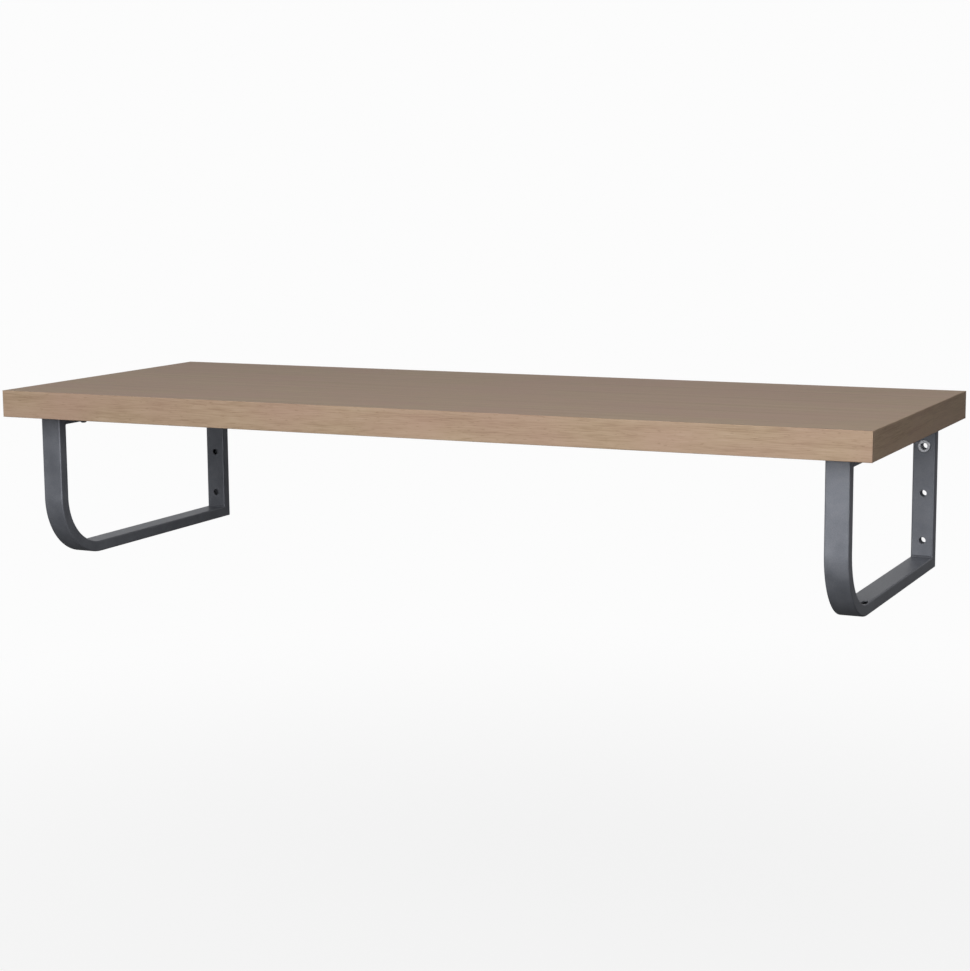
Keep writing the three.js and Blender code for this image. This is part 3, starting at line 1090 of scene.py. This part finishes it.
def floor_material(colour):
    """Pale seamless paper that fades into the room, and that shows only from above."""
    material = bpy.data.materials.new("seamless_paper")
    material.use_nodes = True
    tree = material.node_tree
    tree.nodes.clear()
    coordinates = add(tree, "ShaderNodeTexCoord")
    radius = add(tree, "ShaderNodeVectorMath", {"operation": "LENGTH"}, {
        0: coordinates.outputs["Object"]})
    fade = add(tree, "ShaderNodeMapRange", {"interpolation_type": "SMOOTHSTEP"}, {
        "Value": radius.outputs["Value"], "From Min": 0.8, "From Max": 3.0,
        "To Min": 0.85, "To Max": 1.0})
    paper = add(tree, "ShaderNodeBsdfDiffuse", inputs={"Color": rgba(colour)})
    glow = add(tree, "ShaderNodeEmission", inputs={"Color": rgba(colour), "Strength": 1.0})
    clear = add(tree, "ShaderNodeBsdfTransparent")
    top = add(tree, "ShaderNodeMixShader", inputs={
        0: fade.outputs["Result"], 1: paper.outputs[0], 2: glow.outputs[0]})
    side = add(tree, "ShaderNodeNewGeometry")
    both = add(tree, "ShaderNodeMixShader", inputs={
        0: side.outputs["Backfacing"], 1: top.outputs[0], 2: clear.outputs[0]})
    add(tree, "ShaderNodeOutputMaterial", inputs={"Surface": both.outputs[0]})
    return material


class SHELF_OT_make_stage(bpy.types.Operator):
    """Set up the floor, the lights and the camera"""
    bl_idname = "shelf.make_stage"
    bl_label = "Make stage"

    def execute(self, context):
        settings = context.scene.shelf_stage
        context.scene.view_settings.view_transform = "Standard"
        self.make_floor(settings)
        self.make_lights(settings)
        self.make_camera(context, settings)
        return {"FINISHED"}

    def make_floor(self, settings):
        """A round sheet of paper under the shelf."""
        bm = bmesh.new()
        bmesh.ops.create_circle(bm, cap_ends=True, segments=ROUND_STEPS, radius=FLOOR_RADIUS)
        level = CAD_BOX[0].z - settings.floor_drop
        bmesh.ops.translate(bm, vec=(0, 0, level), verts=bm.verts)
        floor = to_object("floor", bm)
        floor.data.materials.append(floor_material(settings.floor))
        floor.visible_glossy = False
        floor.visible_diffuse = False

    def make_lights(self, settings):
        """The room and the soft boxes."""
        studio_world(settings.floor)
        middle = tuple((CAD_BOX[0] + CAD_BOX[1]) / 2)
        for name, size, power, place in SOFTBOXES:
            soft_light(name, size, power, place, middle)

    def make_camera(self, context, settings):
        """The camera, placed from its aim, turn and distance."""
        data = bpy.data.cameras.new("camera")
        data.lens = settings.lens
        data.sensor_fit = "AUTO"
        data.sensor_width = SENSOR_WIDTH
        camera = bpy.data.objects.new("camera", data)
        context.scene.collection.objects.link(camera)
        flat = math.cos(settings.elevation)
        back = Vector((
            math.sin(settings.azimuth) * flat, -math.cos(settings.azimuth) * flat,
            math.sin(settings.elevation)))
        turn = (-back).to_track_quat("-Z", "Y").to_matrix().to_4x4()
        place = Matrix.Translation(Vector(settings.aim) + back * settings.distance)
        camera.matrix_world = place @ turn @ Matrix.Rotation(settings.roll, 4, "Z")
        context.scene.camera = camera


# ----- Add-on -----

GROUPS = {
    "shelf_board": BoardSettings,
    "shelf_bracket": BracketSettings,
    "shelf_fixing": FixingSettings,
    "shelf_stage": StageSettings,
}
OPERATORS = {
    "shelf_board": (SHELF_OT_make_veneers, SHELF_OT_make_edge_bands),
    "shelf_bracket": (
        SHELF_OT_make_legs, SHELF_OT_make_uprights, SHELF_OT_make_board_bars,
        SHELF_OT_make_weld_beads),
    "shelf_fixing": (SHELF_OT_make_bushes, SHELF_OT_make_board_screws),
    "shelf_stage": (SHELF_OT_make_stage,),
}


class SHELF_PT_panel(bpy.types.Panel):
    """Settings and buttons of the wall shelf"""
    bl_label = "Wall shelf"
    bl_idname = "SHELF_PT_panel"
    bl_space_type = "VIEW_3D"
    bl_region_type = "UI"
    bl_category = "Wall shelf"

    def draw(self, context):
        for name, operators in OPERATORS.items():
            box = self.layout.box()
            group = getattr(context.scene, name)
            for key in group.__annotations__:
                box.prop(group, key)
            for operator in operators:
                box.operator(operator.bl_idname)


def classes():
    """Every class of the add-on, in the order in which they are registered."""
    operators = [operator for group in OPERATORS.values() for operator in group]
    return [*GROUPS.values(), *operators, SHELF_PT_panel]


def register():
    """Registers the classes and adds the settings to the scene."""
    for kind in classes():
        bpy.utils.register_class(kind)
    for name, group in GROUPS.items():
        setattr(bpy.types.Scene, name, PointerProperty(type=group))


def unregister():
    """Takes away what register added."""
    for name in GROUPS:
        delattr(bpy.types.Scene, name)
    for kind in reversed(classes()):
        bpy.utils.unregister_class(kind)


def main():
    """Builds everything."""
    register()
    bpy.ops.shelf.make_veneers()
    bpy.ops.shelf.make_edge_bands()
    bpy.ops.shelf.make_legs()
    bpy.ops.shelf.make_uprights()
    bpy.ops.shelf.make_board_bars()
    bpy.ops.shelf.make_weld_beads()
    bpy.ops.shelf.make_bushes()
    bpy.ops.shelf.make_board_screws()
    bpy.ops.shelf.make_stage()


if __name__ == "__main__":
    main()
